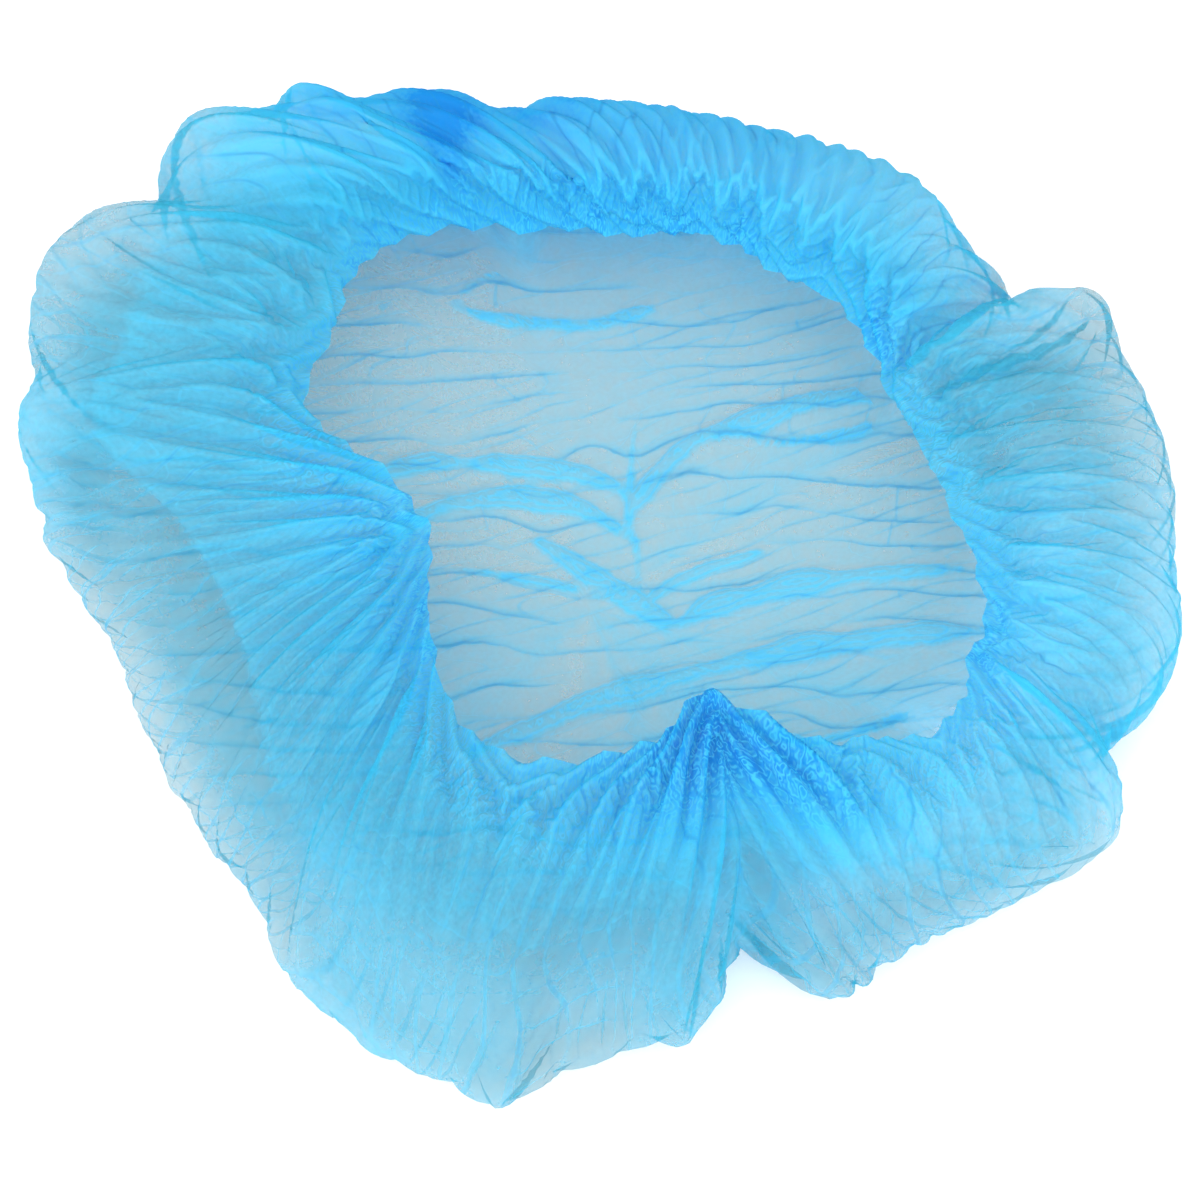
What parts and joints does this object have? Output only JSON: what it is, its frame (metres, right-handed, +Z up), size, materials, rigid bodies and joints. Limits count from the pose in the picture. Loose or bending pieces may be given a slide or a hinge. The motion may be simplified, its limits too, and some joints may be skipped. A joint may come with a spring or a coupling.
{
  "type": "bouffant cap",
  "caption": "Disposable nonwoven bouffant cap lying on its crown, mouth up, with a puffed gathered band and an elastic hem.",
  "frame": {"origin": "on the surface the cap lies on, under the middle of its bounding box", "axes": "+Z up out of the cap's mouth, +X to the right and +Y to the back of the view that the picture gives"},
  "size_m": [0.3576, 0.3434, 0.0586],
  "materials": {
    "nonwoven_cloth": "thin translucent sky blue spunbond polypropylene nonwoven, creased, matt",
    "gathered_hem": "tightly gathered sky blue nonwoven casing over a thin elastic, matt"
  },
  "bodies": {
    "root": {"crown": "nonwoven_cloth", "elastic_hem": "gathered_hem"}
  },
  "joints": []
}
